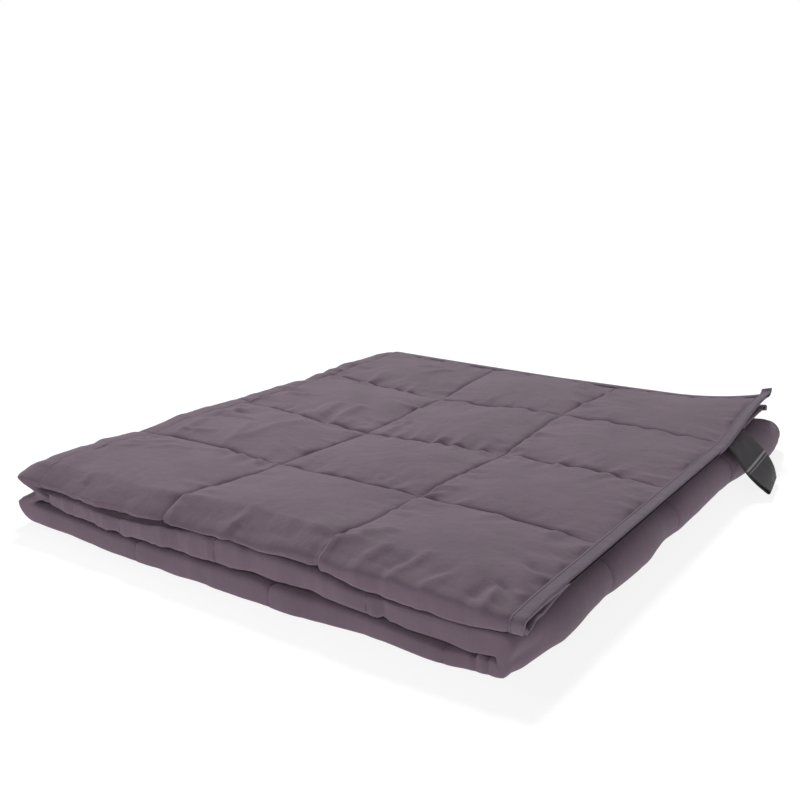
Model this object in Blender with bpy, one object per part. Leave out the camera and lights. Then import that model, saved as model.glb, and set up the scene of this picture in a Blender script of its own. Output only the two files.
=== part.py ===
"""Weighted blanket, folded in half and then in thirds, lying flat.

The blanket is described flat, with S across its width and T along its length, both in
metres from the middle fold and from the end that lies on top. One function, fold(),
carries a flat point to its folded place: the width is folded in half at the front, and
the length is rolled back on itself in thirds, so that three double layers lie on each
other. Metres, +Z up, +Y to the back, origin at the middle of the pile's footprint.
"""
import math

import bmesh
import bpy
import numpy as np

# Flat blanket
WIDTH = 1.500
LENGTH = 2.000
ROWS = 8
COLUMNS = 10
BINDING_WIDTH = 0.014
PITCH_S = (WIDTH - 2 * BINDING_WIDTH) / ROWS
PITCH_T = (LENGTH - 2 * BINDING_WIDTH) / COLUMNS

# Half thicknesses, measured from the plane of the seams
SEAM_HALF = 0.0015
CROWN_OUT = 0.0066
CROWN_IN = 0.0033
EDGE_HALF = 0.0012
UNDERSIDE_HALF = 0.0034
SPINE_SEAM_DEPTH = 0.10
PLATEAU = 1.25
ROUNDING = 0.7
SPINE_SEAM_WIDTH = 0.30
ROLL_SEAM_DEPTH = 0.45
ROLL_SEAM_WIDTH = 0.022
LAYER_GAP = 0.0020
PAIR_GAP = 0.0014
GAP = 0.0003

# Fold in half: the seam plane of each layer lies this far from the middle of the pair
LAYER_OFFSET = CROWN_IN + LAYER_GAP / 2

# Folds in thirds: heights of the middles of the three pairs, and the fold centres
PAIR_HEIGHT = 2 * (LAYER_OFFSET + CROWN_OUT) + PAIR_GAP
BOTTOM_Z = LAYER_OFFSET + UNDERSIDE_HALF
MIDDLE_Z = BOTTOM_Z + PAIR_HEIGHT
TOP_Z = MIDDLE_Z + PAIR_HEIGHT
TOP_END_X = 0.408
LEFT_FOLD_X = -0.204
RIGHT_FOLD_X = 0.398
LEFT_RADIUS = (TOP_Z - BOTTOM_Z) / 2
RIGHT_RADIUS = (MIDDLE_Z - BOTTOM_Z) / 2

# Where the cross seams lie at the front: run, seam number, X
SEAMS = (
    ("top", 0, TOP_END_X - BINDING_WIDTH),
    ("top", 1, 0.197),
    ("top", 2, 0.000),
    ("top", 3, -0.194),
    ("bottom", 4, -0.040),
    ("bottom", 5, 0.146),
    ("bottom", 6, 0.346),
    ("middle", 7, 0.264),
    ("middle", 8, 0.074),
    ("middle", 9, -0.060),
    ("middle", 10, -0.164),
)

# Front and back edges of each pair: run, X, Y of the front, Y of the back
REACH = (
    ("top", 0.40, -0.182, 0.550),
    ("top", 0.10, -0.179, 0.533),
    ("top", -0.19, -0.174, 0.536),
    ("bottom", -0.19, -0.177, 0.540),
    ("bottom", -0.04, -0.179, 0.545),
    ("bottom", 0.10, -0.187, 0.552),
    ("bottom", 0.25, -0.184, 0.560),
    ("bottom", 0.37, -0.193, 0.566),
    ("middle", 0.39, -0.168, 0.562),
    ("middle", 0.10, -0.172, 0.550),
    ("middle", -0.20, -0.168, 0.540),
)

# How far the seam crossings on top lie off the even grid: seam, row, X, Y
STRAY = (
    (1, 1, -0.008, 0.010),
    (1, 2, 0.002, 0.002),
    (1, 3, -0.010, 0.010),
    (2, 1, 0.006, 0.006),
    (2, 2, 0.020, -0.018),
    (2, 3, 0.015, -0.012),
    (3, 1, -0.006, 0.014),
    (3, 2, -0.004, -0.002),
)

# Fullness of the front rolls: X, lift of the pile above the bottom pair
ROLL_LIFT = ((-0.22, 0.003), (-0.10, 0.006), (0.02, 0.013), (0.18, 0.015), (0.30, 0.006), (0.42, 0.000))
ROLL_REACH = 0.090
TOP_ROLL_SLACK = 0.25
FRONT_FULLNESS = 0.92
ROLL_SQUARENESS = 0.6

# Pinches: X start, X run, side, depth, Z, half height, reach in Y, last seam that takes part
PINCHES = (
    (-0.080, 0.145, -1, 0.028, 0.0340, 0.0125, 0.110, 4),
    (0.375, 0.050, 1, 0.006, 0.0220, 0.0080, 0.060, 10),
    (0.360, 0.060, 1, 0.016, 0.0100, 0.0240, 0.070, 10),
)

# Unevenness of the two folded ends: Y, shift of the left end, shift of the right end
END_SHIFTS = (
    (-0.18, -0.003, -0.004),
    (-0.05, -0.003, -0.003),
    (0.10, 0.000, 0.000),
    (0.20, 0.005, -0.001),
    (0.28, 0.009, -0.004),
    (0.36, 0.010, -0.004),
    (0.45, 0.012, 0.002),
    (0.56, 0.014, 0.003),
)

# Ends that lift, draw in or slant, each with where it starts and over what length
LEFT_LIFT = 0.008
LEFT_LIFT_X = -0.030
LEFT_LIFT_RUN = 0.200
LEFT_LIFT_SHARE = 1.35
CORNER_LIFT = 0.018
CORNER_INSET = 0.006
CORNER_Y = 0.330
CORNER_RUN = 0.200
CORNER_REACH = 0.140
TUCK = 0.007
TUCK_WIDTH = 0.120
EDGE_START_X = 0.050
EDGE_RUN = 0.250
STRAY_END = 0.500
STRAY_FADE = 0.100

# Binding strip and label
BINDING_CLOTH = 0.0011
BINDING_INSIDE = EDGE_HALF + GAP
BINDING_OUTSIDE = BINDING_INSIDE + BINDING_CLOTH
BINDING_HOLLOW = 0.0014
LABEL_WIDTH = 0.062
LABEL_Y = 0.392
LABEL_PLY = 0.0008
LABEL_LOOP = 0.0016
LABEL_ROOT = 0.010
LABEL_RISE = 0.0004
LABEL_SHUT = 0.3
LABEL_STEPS = 16
LABEL_COLUMNS = 4
LABEL_TURN_STEPS = 6
LABEL_ROUTE = (
    # X and Z from the blanket's end, along the label's front edge and then its back edge
    (0.0000, 0.0000, 0.0000, 0.0000),
    (0.0095, -0.0100, 0.0110, -0.0090),
    (0.0175, -0.0218, 0.0226, -0.0185),
    (0.0275, -0.0318, 0.0328, -0.0295),
    (0.0392, -0.0402, 0.0402, -0.0420),
    (0.0508, -0.0470, 0.0436, -0.0550),
)

# The pile's footprint is centred on the origin
CENTRE_X = 0.1115
CENTRE_Y = 0.1878

COLOURS = {
    "quilted_panel": ((0.171, 0.139, 0.165), 0.92),
    "edge_binding": ((0.150, 0.125, 0.152), 0.88),
    "side_label": ((0.030, 0.029, 0.031), 0.65),
}


def smooth(x):
    """Rises from 0 to 1 with level ends."""
    x = np.clip(x, 0.0, 1.0)
    return x * x * (3 - 2 * x)


def path_distance(run, x):
    """Distance along the pile's path, from the end on top, of a place on a run."""
    to_bottom = TOP_END_X - LEFT_FOLD_X + math.pi * LEFT_RADIUS
    to_middle = to_bottom + RIGHT_FOLD_X - LEFT_FOLD_X + math.pi * RIGHT_RADIUS
    if run == "top":
        return TOP_END_X - x
    if run == "bottom":
        return to_bottom + x - LEFT_FOLD_X
    return to_middle + RIGHT_FOLD_X - x


def path_point(d):
    """Place and outward normal of the path at distance d: x, z, nx, nz."""
    left = path_distance("top", LEFT_FOLD_X)
    bottom = path_distance("bottom", LEFT_FOLD_X)
    right = path_distance("bottom", RIGHT_FOLD_X)
    middle = path_distance("middle", RIGHT_FOLD_X)
    a = np.clip((d - left) / LEFT_RADIUS, 0, math.pi)
    b = np.clip((d - right) / RIGHT_RADIUS, 0, math.pi)
    on_left = (d > left) & (d < bottom)
    on_right = (d > right) & (d < middle)
    x = np.where(d <= left, TOP_END_X - d, LEFT_FOLD_X + d - bottom)
    x = np.where(d >= middle, RIGHT_FOLD_X - (d - middle), x)
    x = np.where(on_left, LEFT_FOLD_X - LEFT_RADIUS * np.sin(a), x)
    x = np.where(on_right, RIGHT_FOLD_X + RIGHT_RADIUS * np.sin(b), x)
    z = np.where(d <= left, TOP_Z, BOTTOM_Z)
    z = np.where(d >= middle, MIDDLE_Z, z)
    z = np.where(on_left, MIDDLE_Z + LEFT_RADIUS * np.cos(a), z)
    z = np.where(on_right, BOTTOM_Z + RIGHT_RADIUS * (1 - np.cos(b)), z)
    nx = np.where(on_left, -np.sin(a), np.where(on_right, np.sin(b), 0.0))
    nz = np.where(d <= left, 1.0, np.where(d >= middle, 1.0, -1.0))
    nz = np.where(on_left, np.cos(a), np.where(on_right, -np.cos(b), nz))
    return x, z, nx, nz


SEAM_T = [0.0] + [BINDING_WIDTH + k * PITCH_T for _, k, _ in SEAMS] + [LENGTH]
SEAM_D = [0.0] + [path_distance(run, x) for run, _, x in SEAMS]
SEAM_D.append(SEAM_D[-1] + BINDING_WIDTH)
REACH_D = [path_distance(run, x) for run, x, _, _ in REACH]
FRONT_Y = [front for _, _, front, _ in REACH]
BACK_Y = [back for _, _, _, back in REACH]


def stray(s, t, d):
    """Small drift of the seams on the top pair, in X and Y."""
    fade = 1 - smooth((d - STRAY_END) / STRAY_FADE)
    i = (t - BINDING_WIDTH) / PITCH_T
    j = np.abs(s) / PITCH_S
    dx = np.zeros_like(d)
    dy = np.zeros_like(d)
    for seam, row, x_off, y_off in STRAY:
        w = smooth(1 - np.abs(i - seam)) * smooth(1 - np.abs(j - row)) * fade
        dx += w * x_off
        dy += w * y_off
    return dx, dy


def fold(s, t, m):
    """Folded place of the flat point (s, t), a height m above the seams' plane."""
    s, t, m = (np.asarray(v, dtype=float) for v in np.broadcast_arrays(s, t, m))
    d = np.interp(t, SEAM_T, SEAM_D)
    quarter = LAYER_OFFSET * math.pi / 2
    front = np.interp(d, REACH_D, FRONT_Y) + CROWN_OUT * FRONT_FULLNESS + LAYER_OFFSET
    back = np.interp(d, REACH_D, BACK_Y)
    run = (back - front + quarter) / (WIDTH / 2)
    q = s * run
    angle = np.clip(q / LAYER_OFFSET, -math.pi / 2, math.pi / 2)
    forward = np.cos(angle) ** ROLL_SQUARENESS
    outward = np.sign(angle) * np.abs(np.sin(angle)) ** ROLL_SQUARENESS
    beyond = np.maximum(np.abs(q) - quarter, 0)
    y = front - (LAYER_OFFSET + m) * forward + beyond
    n = (LAYER_OFFSET + m) * outward
    x, z, nx, nz = path_point(d)
    x = x + n * nx
    z = z + n * nz
    dx, dy = stray(s, t, d)
    dx -= TUCK * smooth(-s / TUCK_WIDTH) * smooth(1 - d / TUCK_WIDTH)
    x, y, z = settle(x + dx, y + dy, z, d, front)
    return np.stack([x - CENTRE_X, y - CENTRE_Y, z], axis=-1)


def corner_share(x, y):
    """How far a point of the top pair takes part in its lifted back corner."""
    along = np.clip(1 - (TOP_END_X - x) / CORNER_REACH, 0, 1)
    return smooth((y - CORNER_Y) / CORNER_RUN) * along ** 2


def settle(x, y, z, d, front):
    """Gives the folded pile its full rolls, pinched corners and lifted ends."""
    depth = np.maximum(y - front, 0)
    lift = np.interp(x, [p[0] for p in ROLL_LIFT], [p[1] for p in ROLL_LIFT])
    seat = (MIDDLE_Z + TOP_Z) / 2
    share = smooth(z / seat) - TOP_ROLL_SLACK * smooth((z - seat) / PAIR_HEIGHT)
    z = z + lift * share * np.exp(-((depth / ROLL_REACH) ** 2))
    ys, left_shift, right_shift = zip(*END_SHIFTS)
    x = x + np.interp(y, ys, left_shift) * smooth((EDGE_START_X - x) / EDGE_RUN)
    x = x + np.interp(y, ys, right_shift) * smooth((x - EDGE_START_X) / EDGE_RUN) * (d > SEAM_D[4])
    for start, run, side, amount, height, half, reach, last in PINCHES:
        w = smooth(side * (x - start) / run) * np.exp(-(((z - height) / half) ** 2))
        w = w * np.clip(1 - depth / reach, 0, 1) * (d < SEAM_D[last + 1])
        x = x - side * amount * w
    rise = smooth((LEFT_LIFT_X - x) / LEFT_LIFT_RUN) * np.clip(LEFT_LIFT_SHARE - z / TOP_Z, 0, 1)
    z = z + LEFT_LIFT * rise
    corner = corner_share(x, y) * (d < SEAM_D[4])
    x = x - CORNER_INSET * corner
    z = z + CORNER_LIFT * corner
    return x, y, np.maximum(z, 0.0)


def relief(s, t):
    """Share of the full crown at a flat point: 0 on every seam, 1 in a pocket."""
    def part(offset, pitch, count):
        f = np.clip(offset / pitch, 0, count)
        return np.clip(PLATEAU * np.abs(np.sin(math.pi * f)) ** ROUNDING, 0, 1)

    across = part(s + WIDTH / 2 - BINDING_WIDTH, PITCH_S, ROWS)
    on_spine = np.exp(-((s / (SPINE_SEAM_WIDTH * PITCH_S)) ** 2))
    across = np.maximum(across, on_spine * (1 - SPINE_SEAM_DEPTH))
    along = part(t - BINDING_WIDTH, PITCH_T, COLUMNS)
    inside = smooth(np.minimum(t, LENGTH - t) / PITCH_T)
    on_roll = np.exp(-((s / ROLL_SEAM_WIDTH) ** 2)) * (1 - ROLL_SEAM_DEPTH) * inside
    return across * np.maximum(along, on_roll)


# Grid lines: shares of a pocket, steps in from the cut edge, and lines beside the middle fold
SHARES = (0.0, 0.12, 0.5, 0.88)
HEM_STEPS = (0.0018, 0.0080)
FIRST_RISE = 0.0080
SPINE_LINES = (0.0027, 0.0050, 0.0080, 0.0480)
LEFT_FOLD_LINES = 11
RIGHT_FOLD_LINES = 6
S_SPACING = 0.0022
T_SPACING = 0.0045


def stations(edges, extra, least):
    """Grid lines: some at fixed shares of every pocket, and some more at the folds."""
    lines = list(extra) + [edges[0] + FIRST_RISE, edges[-1] - FIRST_RISE, edges[-1]]
    for low, high in zip(edges[:-1], edges[1:]):
        lines += [low + (high - low) * share for share in SHARES]
    kept = []
    for line in sorted(lines):
        is_seam = min(abs(line - edge) for edge in edges) < 1e-6
        if not kept or line - kept[-1] > least:
            kept.append(line)
        elif is_seam:
            kept[-1] = line
    return kept


def s_lines():
    """Grid lines across the width."""
    seams = [k * PITCH_S - WIDTH / 2 + BINDING_WIDTH for k in range(ROWS + 1)]
    near_spine = [side * v for v in SPINE_LINES for side in (-1, 1)]
    hems = [WIDTH / 2 - v for v in HEM_STEPS]
    return np.array([-hem for hem in hems] + stations(seams, near_spine, S_SPACING) + hems[::-1])


def t_lines():
    """Grid lines along the length."""
    seams = [k * PITCH_T + BINDING_WIDTH for k in range(COLUMNS + 1)]
    folds = []
    for first, last, x, count in (
        ("top", "bottom", LEFT_FOLD_X, LEFT_FOLD_LINES),
        ("bottom", "middle", RIGHT_FOLD_X, RIGHT_FOLD_LINES),
    ):
        arc = np.linspace(path_distance(first, x), path_distance(last, x), count)
        folds += list(np.interp(arc, SEAM_D, SEAM_T))
    far_hems = [LENGTH - v for v in reversed(HEM_STEPS)]
    return np.array(list(HEM_STEPS) + stations(seams, folds, T_SPACING) + far_hems)


def add_object(name, points, faces):
    """Makes a closed, smooth shaded object with its own cloth material."""
    mesh = bpy.data.meshes.new(name)
    bm = bmesh.new()
    verts = [bm.verts.new(p) for p in points]
    for face in faces:
        bm.faces.new([verts[k] for k in face])
    bmesh.ops.recalc_face_normals(bm, faces=bm.faces)
    bm.to_mesh(mesh)
    bm.free()
    mesh.shade_smooth()
    colour, roughness = COLOURS[name]
    material = bpy.data.materials.new(name + "_cloth")
    material.use_nodes = True
    shader = material.node_tree.nodes["Principled BSDF"]
    shader.inputs["Base Color"].default_value = (*colour, 1)
    shader.inputs["Roughness"].default_value = roughness
    mesh.materials.append(material)
    obj = bpy.data.objects.new(name, mesh)
    bpy.context.collection.objects.link(obj)
    return obj


def make_panel():
    """The quilted cloth: an upper and a lower face, closed along the cut edge."""
    s, t = np.meshgrid(s_lines(), t_lines(), indexing="ij")
    rows, cols = s.shape
    share = relief(s, t)
    hem = np.minimum(WIDTH / 2 - np.abs(s), np.minimum(t, LENGTH - t))
    flat = np.where(hem < BINDING_WIDTH + FIRST_RISE / 2, EDGE_HALF, SEAM_HALF)
    outer = fold(s, t, flat + share * (CROWN_OUT - SEAM_HALF)).reshape(-1, 3)
    inner = fold(s, t, -flat - share * (CROWN_IN - SEAM_HALF)).reshape(-1, 3)
    faces = []
    total = rows * cols
    for i in range(rows - 1):
        for j in range(cols - 1):
            a, b = i * cols + j, i * cols + j + 1
            c, e = b + cols, a + cols
            faces.append((a, b, c, e))
            faces.append((a + total, e + total, c + total, b + total))
    rim = list(range(cols))
    rim += [i * cols + cols - 1 for i in range(1, rows)]
    rim += [(rows - 1) * cols + j for j in range(cols - 2, -1, -1)]
    rim += [i * cols for i in range(rows - 2, 0, -1)]
    for a, b in zip(rim, rim[1:] + rim[:1]):
        faces.append((a, a + total, b + total, b))
    return add_object("quilted_panel", np.vstack([outer, inner]), faces)


def binding_profile():
    """Section of the folded strip: distance in from the edge, height off the cloth."""
    top = [(BINDING_WIDTH, BINDING_INSIDE), (BINDING_WIDTH, BINDING_OUTSIDE)]
    top += [(BINDING_HOLLOW - GAP, BINDING_OUTSIDE), (0.0, BINDING_OUTSIDE / 2)]
    under = [(a, -m) for a, m in reversed(top)]
    hollow = [(BINDING_HOLLOW, -BINDING_INSIDE), (BINDING_HOLLOW, BINDING_INSIDE)]
    return top + under + hollow


def rim_places():
    """Places round the cut edge, each with its way inward: s, t, inward s, inward t."""
    s_run = s_lines()[3:-3]
    t_run = t_lines()[3:-3]
    low, high = -WIDTH / 2, WIDTH / 2
    places = [(low, 0.0, 1, 1)]
    places += [(low, t, 1, 0) for t in t_run]
    places.append((low, LENGTH, 1, -1))
    places += [(s, LENGTH, 0, -1) for s in s_run]
    places.append((high, LENGTH, -1, -1))
    places += [(high, t, -1, 0) for t in reversed(t_run)]
    places.append((high, 0.0, -1, 1))
    places += [(s, 0.0, 0, 1) for s in reversed(s_run)]
    return places


def make_binding():
    """One strip folded over the cut edge, all the way round, mitred at the corners."""
    places, profile = rim_places(), binding_profile()
    points = []
    for s, t, in_s, in_t in places:
        points += [fold(s + in_s * a, t + in_t * a, m) for a, m in profile]
    count, size = len(places), len(profile)
    faces = []
    for k in range(count):
        here, there = k * size, (k + 1) % count * size
        for p in range(size):
            q = (p + 1) % size
            faces.append((here + p, here + q, there + q, there + p))
    return add_object("edge_binding", np.array(points), faces)


def unit(vectors):
    return vectors / np.linalg.norm(vectors, axis=1)[:, None]


def label_line(share):
    """Middle line of the label, a share of the way from its front edge to its back edge."""
    route = np.array(LABEL_ROUTE)
    steps = np.linspace(0, len(route) - 1, LABEL_STEPS + 1)
    edges = [np.interp(steps, range(len(route)), column) for column in route.T]
    line = np.stack([(1 - share) * edges[k] + share * edges[k + 2] for k in (0, 1)], axis=1)
    line[1:-1] = (line[:-2] + 2 * line[1:-1] + line[2:]) / 4
    return np.vstack([[-LABEL_ROOT, 0.0], line])


def loop_section(line):
    """Outer and inner points of a tape that follows a line, turns and comes back."""
    along = unit(np.gradient(line, axis=0))
    side = np.stack([-along[:, 1], along[:, 0]], axis=1)
    opening = smooth(np.linspace(-LABEL_SHUT, 1, len(line)))
    spread = (LABEL_PLY + GAP) / 2 + LABEL_LOOP * opening
    upper = line + side * spread[:, None]
    lower = line - side * spread[:, None]
    angles = np.linspace(0, math.pi, LABEL_TURN_STEPS + 1)[1:-1, None]
    turn = line[-1] + spread[-1] * (np.cos(angles) * side[-1] + np.sin(angles) * along[-1])
    tape = np.vstack([upper, turn, lower[::-1]])
    run = unit(np.gradient(tape, axis=0))
    normal = np.stack([-run[:, 1], run[:, 0]], axis=1)
    return tape + normal * LABEL_PLY / 2, tape - normal * LABEL_PLY / 2


def make_label():
    """A tape folded to a loop: out from under the binding, over the fold and back."""
    shares = np.linspace(0, 1, LABEL_COLUMNS + 1)
    outer, inner = [], []
    for share in shares:
        y = LABEL_Y + (share - 0.5) * LABEL_WIDTH
        for side, section in zip((outer, inner), loop_section(label_line(share))):
            lifted = corner_share(TOP_END_X + np.minimum(section[:, 0], 0), y)
            x = TOP_END_X + section[:, 0] - CORNER_INSET * lifted
            z = TOP_Z + LABEL_RISE + section[:, 1] + CORNER_LIFT * lifted
            side.append(np.stack([x - CENTRE_X, np.full_like(x, y - CENTRE_Y), z], axis=1))
    points = np.stack(outer + inner[::-1], axis=1)
    length, size = points.shape[:2]
    faces = []
    for k in range(0, (length - 1) * size, size):
        for p in range(size):
            q = (p + 1) % size
            faces.append((k + p, k + q, k + size + q, k + size + p))
    for first in (0, (length - 1) * size):
        for p in range(LABEL_COLUMNS):
            faces.append((first + p, first + p + 1, first + size - 2 - p, first + size - 1 - p))
    return add_object("side_label", points.reshape(-1, 3), faces)


def main():
    for obj in list(bpy.data.objects):
        bpy.data.objects.remove(obj, do_unlink=True)
    make_panel()
    make_binding()
    make_label()


main()
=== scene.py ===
"""A weighted blanket, folded in half and then in thirds: its cloth, sewing and label.

The blanket is described flat, with S across its width and T along its length, in metres.
fold() carries a flat point to its folded place, as in the part's source. The cloth, its
tape and the stitches are made flat, at the real size of their cut, and then folded by it.
The label follows a course of its own from the blanket's end.
"""
import math

import bpy
import numpy as np
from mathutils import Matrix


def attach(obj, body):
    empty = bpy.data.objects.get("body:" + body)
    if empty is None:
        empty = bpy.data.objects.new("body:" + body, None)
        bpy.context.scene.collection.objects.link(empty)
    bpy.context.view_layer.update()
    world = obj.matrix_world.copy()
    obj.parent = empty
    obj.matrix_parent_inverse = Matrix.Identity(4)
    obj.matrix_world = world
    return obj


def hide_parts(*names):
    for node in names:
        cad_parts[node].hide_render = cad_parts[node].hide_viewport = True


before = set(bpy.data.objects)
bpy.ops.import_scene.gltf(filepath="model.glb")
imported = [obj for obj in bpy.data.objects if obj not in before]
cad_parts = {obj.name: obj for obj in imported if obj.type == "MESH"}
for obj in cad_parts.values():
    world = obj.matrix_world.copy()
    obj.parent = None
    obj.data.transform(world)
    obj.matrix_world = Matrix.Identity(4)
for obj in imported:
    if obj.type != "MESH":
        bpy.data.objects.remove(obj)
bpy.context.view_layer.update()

bpy.ops.object.select_all(action="DESELECT")

# ---------------------------------------------------------------- the part's own sizes

# The flat blanket, its pockets and its bound edge
WIDTH = 1.500
LENGTH = 2.000
ROWS = 8
COLUMNS = 10
BINDING_WIDTH = 0.014
PITCH_S = (WIDTH - 2 * BINDING_WIDTH) / ROWS
PITCH_T = (LENGTH - 2 * BINDING_WIDTH) / COLUMNS

# Half thicknesses of the cloth, and the room between folded layers
SEAM_HALF = 0.0015
CROWN_OUT = 0.0066
CROWN_IN = 0.0033
EDGE_HALF = 0.0012
UNDERSIDE_HALF = 0.0034
LAYER_GAP = 0.0020
PAIR_GAP = 0.0014
GAP = 0.0003
LAYER_OFFSET = CROWN_IN + LAYER_GAP / 2
PAIR_HEIGHT = 2 * (LAYER_OFFSET + CROWN_OUT) + PAIR_GAP
BOTTOM_Z = LAYER_OFFSET + UNDERSIDE_HALF
MIDDLE_Z = BOTTOM_Z + PAIR_HEIGHT
TOP_Z = MIDDLE_Z + PAIR_HEIGHT

# Ends and folds of the pile's path, and the middle of the part in that path's own frame
TOP_END_X = 0.408
LEFT_FOLD_X = -0.204
RIGHT_FOLD_X = 0.398
LEFT_RADIUS = (TOP_Z - BOTTOM_Z) / 2
RIGHT_RADIUS = (MIDDLE_Z - BOTTOM_Z) / 2
CENTRE_X = 0.1115
CENTRE_Y = 0.1878

# Where the cross seams lie at the front: run, seam number, X
SEAMS = (
    ("top", 0, TOP_END_X - BINDING_WIDTH),
    ("top", 1, 0.197),
    ("top", 2, 0.000),
    ("top", 3, -0.194),
    ("bottom", 4, -0.040),
    ("bottom", 5, 0.146),
    ("bottom", 6, 0.346),
    ("middle", 7, 0.264),
    ("middle", 8, 0.074),
    ("middle", 9, -0.060),
    ("middle", 10, -0.164),
)

# Front and back edges of each pair: run, X, Y of the front, Y of the back
REACH = (
    ("top", 0.40, -0.182, 0.550),
    ("top", 0.10, -0.179, 0.533),
    ("top", -0.19, -0.174, 0.536),
    ("bottom", -0.19, -0.177, 0.540),
    ("bottom", -0.04, -0.179, 0.545),
    ("bottom", 0.10, -0.182, 0.552),
    ("bottom", 0.18, -0.184, 0.556),
    ("bottom", 0.26, -0.177, 0.560),
    ("bottom", 0.34, -0.184, 0.565),
    ("bottom", 0.39, -0.177, 0.566),
    ("middle", 0.39, -0.178, 0.562),
    ("middle", 0.25, -0.179, 0.556),
    ("middle", 0.10, -0.181, 0.550),
    ("middle", -0.06, -0.181, 0.545),
    ("middle", -0.20, -0.175, 0.540),
)

# How far the seam crossings on top lie off the even grid: seam, row, X, Y
STRAY = (
    (1, 1, -0.008, 0.010),
    (1, 2, 0.002, 0.002),
    (1, 3, -0.010, 0.010),
    (2, 1, 0.006, 0.006),
    (2, 2, 0.020, -0.018),
    (2, 3, 0.015, -0.012),
    (3, 1, -0.006, 0.014),
    (3, 2, -0.004, -0.002),
)

# Fullness of the front rolls: X, lift of the pile above the bottom pair
ROLL_LIFT = (
    (-0.22, 0.003),
    (-0.10, 0.006),
    (0.02, 0.013),
    (0.18, 0.015),
    (0.30, 0.006),
    (0.42, 0.000),
)
ROLL_REACH = 0.090
TOP_ROLL_SLACK = 0.25
FRONT_FULLNESS = 0.92

# How round the rolls are: 1 is a half circle, and less is blunter
ROLL_ROUND = 0.70
ROLL_PRESSED = 0.40
END_ROUND_T = 0.045

# The bound end on top opens at its front corner, and the cloth crumples inside it. The band
# of S is where that starts, where it ends, and how soon it rises and fades
END_OPENING = 0.0045
END_OPENING_T = 0.030
END_OPENING_S = 0.045
END_CRUMPLE = 0.0036
END_CRUMPLE_T = 0.016
END_CRUMPLE_PITCH = 0.0065
END_CRUMPLE_RUN = 0.030
END_CRUMPLE_BAND = (0.004, 0.042, 0.006, 0.016)

# Pinches: X start, X run, side, depth, Z, half height, reach in Y, last seam that takes part
PINCHES = (
    (-0.080, 0.145, -1, 0.038, 0.0355, 0.0110, 0.110, 4),
    (-0.180, 0.050, -1, -0.006, 0.0570, 0.0085, 0.070, 4),
    (0.375, 0.050, 1, 0.006, 0.0220, 0.0080, 0.060, 10),
    (0.360, 0.060, 1, 0.013, 0.0100, 0.0240, 0.070, 10),
)

# Unevenness of the two folded ends: Y, shift of the left end, shift of the right end
END_SHIFTS = (
    (-0.18, 0.003, -0.012),
    (-0.05, 0.000, -0.014),
    (0.10, 0.001, -0.012),
    (0.20, 0.005, -0.013),
    (0.28, 0.014, -0.014),
    (0.36, 0.017, -0.012),
    (0.45, 0.019, -0.003),
    (0.56, 0.021, 0.001),
)
EDGE_START_X = 0.050
EDGE_RUN = 0.250

# The hidden end of the middle run is pushed further into the left fold near the front:
# X start, X run, how far it goes, reach in Y
MIDDLE_END = (-0.100, 0.080, 0.018, 0.070)

# The left end stands off the floor, less so towards the back and at the top
LEFT_LIFT = 0.008
LEFT_LIFT_BACK = 0.60
LEFT_LIFT_BACK_RUN = 0.25
LEFT_LIFT_X = -0.030
LEFT_LIFT_RUN = 0.200
LEFT_LIFT_SHARE = 1.35

# The far corner of the top pair is lifted and drawn in, its lower layer less
CORNER_LIFT = 0.018
CORNER_INSET = 0.006
CORNER_Y = 0.330
CORNER_RUN = 0.200
CORNER_REACH = 0.140
LOWER_CORNER_SHARE = 0.55

# The lower layer's bound end is tucked back under the upper one's
TUCK = 0.007
TUCK_WIDTH = 0.120

# Where along the path the seams' drift dies out
STRAY_END = 0.500
STRAY_FADE = 0.100

# The top slopes down to its front, most at the left: X, drop, how far back it reaches
SHOULDER = (
    (-0.23, 0.0125, 0.022),
    (-0.18, 0.0175, 0.026),
    (-0.12, 0.0190, 0.034),
    (-0.05, 0.0185, 0.028),
    (0.00, 0.0180, 0.029),
    (0.08, 0.0165, 0.040),
    (0.18, 0.0135, 0.036),
    (0.28, 0.0075, 0.050),
    (0.42, 0.0050, 0.052),
)
SHOULDER_BEND = 1.15
SHOULDER_Z = 0.047
SHOULDER_RUN = 0.031

# The rolls hang over one another: X, then how far the upper and the lower gap sink
DROOP = (
    (-0.22, 0.0030, 0.000),
    (-0.14, 0.0035, 0.000),
    (-0.07, 0.0060, 0.000),
    (0.02, 0.0035, 0.001),
    (0.08, 0.0040, 0.001),
    (0.20, 0.0085, 0.002),
    (0.28, 0.0095, 0.005),
    (0.36, 0.0075, 0.005),
    (0.41, 0.0000, 0.003),
)
# Each gap's height, and how far above and below it the cloth follows
DROOP_GAPS = ((0.052, 0.0105), (0.023, 0.0100))
DROOP_REACH = 0.050

# Cells of the random waves before they repeat
LATTICE = (97, 89)


def smooth(x):
    """Rises from 0 to 1 with level ends."""
    x = np.clip(x, 0.0, 1.0)
    return x * x * (3 - 2 * x)


def bump(x):
    """A soft hill: 1 at 0 and next to nothing beyond 2."""
    return np.exp(-(x ** 2))


def within(v, low, high, rising, falling):
    """A soft window: 0 outside low and high, 1 once it has risen and before it falls."""
    return smooth((v - low) / rising) * smooth((high - v) / falling)


def noise(seed, u, v):
    """Smooth random waves from -1 to 1, one to a lattice cell."""
    table = np.random.default_rng(seed).uniform(-1, 1, LATTICE)
    i, j = np.floor(u).astype(int), np.floor(v).astype(int)
    a, b = smooth(u - i), smooth(v - j)
    i0, i1 = i % LATTICE[0], (i + 1) % LATTICE[0]
    j0, j1 = j % LATTICE[1], (j + 1) % LATTICE[1]
    low = table[i0, j0] * (1 - a) + table[i1, j0] * a
    high = table[i0, j1] * (1 - a) + table[i1, j1] * a
    return low * (1 - b) + high * b


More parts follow.
